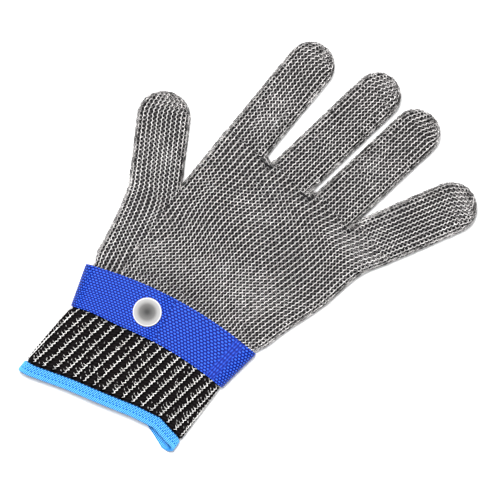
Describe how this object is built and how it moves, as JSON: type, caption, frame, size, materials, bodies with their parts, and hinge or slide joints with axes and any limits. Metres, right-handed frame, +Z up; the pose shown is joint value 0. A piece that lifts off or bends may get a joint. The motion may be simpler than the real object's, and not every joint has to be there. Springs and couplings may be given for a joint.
{
  "type": "chain mail glove",
  "caption": "Five-finger steel chain mail glove over a black knitted liner with a ribbed cuff, closed by a blue webbing wrist strap with a snap.",
  "frame": {"origin": "under the middle of the wrist strap, on the surface the glove lies on", "axes": "+X across the hand from the thumb side, +Y from the cuff to the fingertips, +Z up from the surface, palm side up"},
  "size_m": [0.1929, 0.2723, 0.0216],
  "materials": {
    "mail": "small welded stainless steel rings, four in one",
    "liner": "fine black knit",
    "cuff": "black ribbed knit with silver yarn",
    "hem": "light blue overlocked edging",
    "strap": "royal blue woven webbing",
    "thread": "blue sewing thread",
    "snap": "satin nickel"
  },
  "bodies": {
    "palm": {"mail_palm": "mail", "liner_palm": "liner", "strap_band": "strap", "strap_stitching": "thread", "snap_stud": "snap", "snap_eyelet": "snap", "cuff_root": "cuff"},
    "flap": {"strap_flap": "strap", "snap_cap": "snap", "snap_socket": "snap"},
    "cuff": {"cuff_knit": "cuff", "cuff_hem": "hem"},
    "thumb_base": {"mail_thumb_base": "mail", "liner_thumb_base": "liner"},
    "thumb_tip": {"mail_thumb_tip": "mail", "liner_thumb_tip": "liner"},
    "index_base": {"mail_index_base": "mail", "liner_index_base": "liner"},
    "index_middle": {"mail_index_middle": "mail", "liner_index_middle": "liner"},
    "index_tip": {"mail_index_tip": "mail", "liner_index_tip": "liner"},
    "middle_base": {"mail_middle_base": "mail", "liner_middle_base": "liner"},
    "middle_middle": {"mail_middle_middle": "mail", "liner_middle_middle": "liner"},
    "middle_tip": {"mail_middle_tip": "mail", "liner_middle_tip": "liner"},
    "ring_base": {"mail_ring_base": "mail", "liner_ring_base": "liner"},
    "ring_middle": {"mail_ring_middle": "mail", "liner_ring_middle": "liner"},
    "ring_tip": {"mail_ring_tip": "mail", "liner_ring_tip": "liner"},
    "little_base": {"mail_little_base": "mail", "liner_little_base": "liner"},
    "little_middle": {"mail_little_middle": "mail", "liner_little_middle": "liner"},
    "little_tip": {"mail_little_tip": "mail", "liner_little_tip": "liner"}
  },
  "joints": [
    {"name": "thumb_root_bend", "type": "hinge", "parent": "palm", "child": "thumb_base", "pos_m": [-0.0534, 0.0554, 0.0075], "axis": [0.8434, 0.5373, 0], "range_deg": [0, 50]},
    {"name": "thumb_tip_bend", "type": "hinge", "parent": "thumb_base", "child": "thumb_tip", "pos_m": [-0.06844, 0.07902, 0.0075], "axis": [0.8434, 0.5373, 0], "range_deg": [0, 60]},
    {"name": "index_root_bend", "type": "hinge", "parent": "palm", "child": "index_base", "pos_m": [-0.0285, 0.109, 0.0075], "axis": [1, 0, 0], "range_deg": [0, 75]},
    {"name": "index_middle_bend", "type": "hinge", "parent": "index_base", "child": "index_middle", "pos_m": [-0.0285, 0.135, 0.0075], "axis": [1, 0, 0], "range_deg": [0, 80]},
    {"name": "index_tip_bend", "type": "hinge", "parent": "index_middle", "child": "index_tip", "pos_m": [-0.0285, 0.157, 0.0075], "axis": [1, 0, 0], "range_deg": [0, 45]},
    {"name": "middle_root_bend", "type": "hinge", "parent": "palm", "child": "middle_base", "pos_m": [0.0044, 0.1095, 0.0075], "axis": [0.9925, -0.1219, 0], "range_deg": [0, 75]},
    {"name": "middle_middle_bend", "type": "hinge", "parent": "middle_base", "child": "middle_middle", "pos_m": [0.00818, 0.14027, 0.0075], "axis": [0.9925, -0.1219, 0], "range_deg": [0, 80]},
    {"name": "middle_tip_bend", "type": "hinge", "parent": "middle_middle", "child": "middle_tip", "pos_m": [0.01135, 0.16608, 0.0075], "axis": [0.9925, -0.1219, 0], "range_deg": [0, 45]},
    {"name": "ring_root_bend", "type": "hinge", "parent": "palm", "child": "ring_base", "pos_m": [0.0356, 0.111, 0.0075], "axis": [0.9914, -0.1305, 0], "range_deg": [0, 75]},
    {"name": "ring_middle_bend", "type": "hinge", "parent": "ring_base", "child": "ring_middle", "pos_m": [0.03945, 0.14025, 0.0075], "axis": [0.9914, -0.1305, 0], "range_deg": [0, 80]},
    {"name": "ring_tip_bend", "type": "hinge", "parent": "ring_middle", "child": "ring_tip", "pos_m": [0.04265, 0.16454, 0.0075], "axis": [0.9914, -0.1305, 0], "range_deg": [0, 45]},
    {"name": "little_root_bend", "type": "hinge", "parent": "palm", "child": "little_base", "pos_m": [0.0654, 0.112, 0.0075], "axis": [0.9724, -0.2334, 0], "range_deg": [0, 75]},
    {"name": "little_middle_bend", "type": "hinge", "parent": "little_base", "child": "little_middle", "pos_m": [0.07607, 0.13294, 0.0075], "axis": [0.9724, -0.2334, 0], "range_deg": [0, 80]},
    {"name": "little_tip_bend", "type": "hinge", "parent": "little_middle", "child": "little_tip", "pos_m": [0.08492, 0.15031, 0.0075], "axis": [0.9724, -0.2334, 0], "range_deg": [0, 45]},
    {"name": "cuff_fold", "type": "hinge", "parent": "palm", "child": "cuff", "pos_m": [0, -0.027, 0.0075], "axis": [-0.9816, -0.1908, 0], "range_deg": [0, 60]},
    {"name": "flap_open", "type": "hinge", "parent": "palm", "child": "flap", "pos_m": [-0.04353, -0.01464, 0.0182], "axis": [0.3875, -0.9219, 0], "range_deg": [0, 150]}
  ]
}
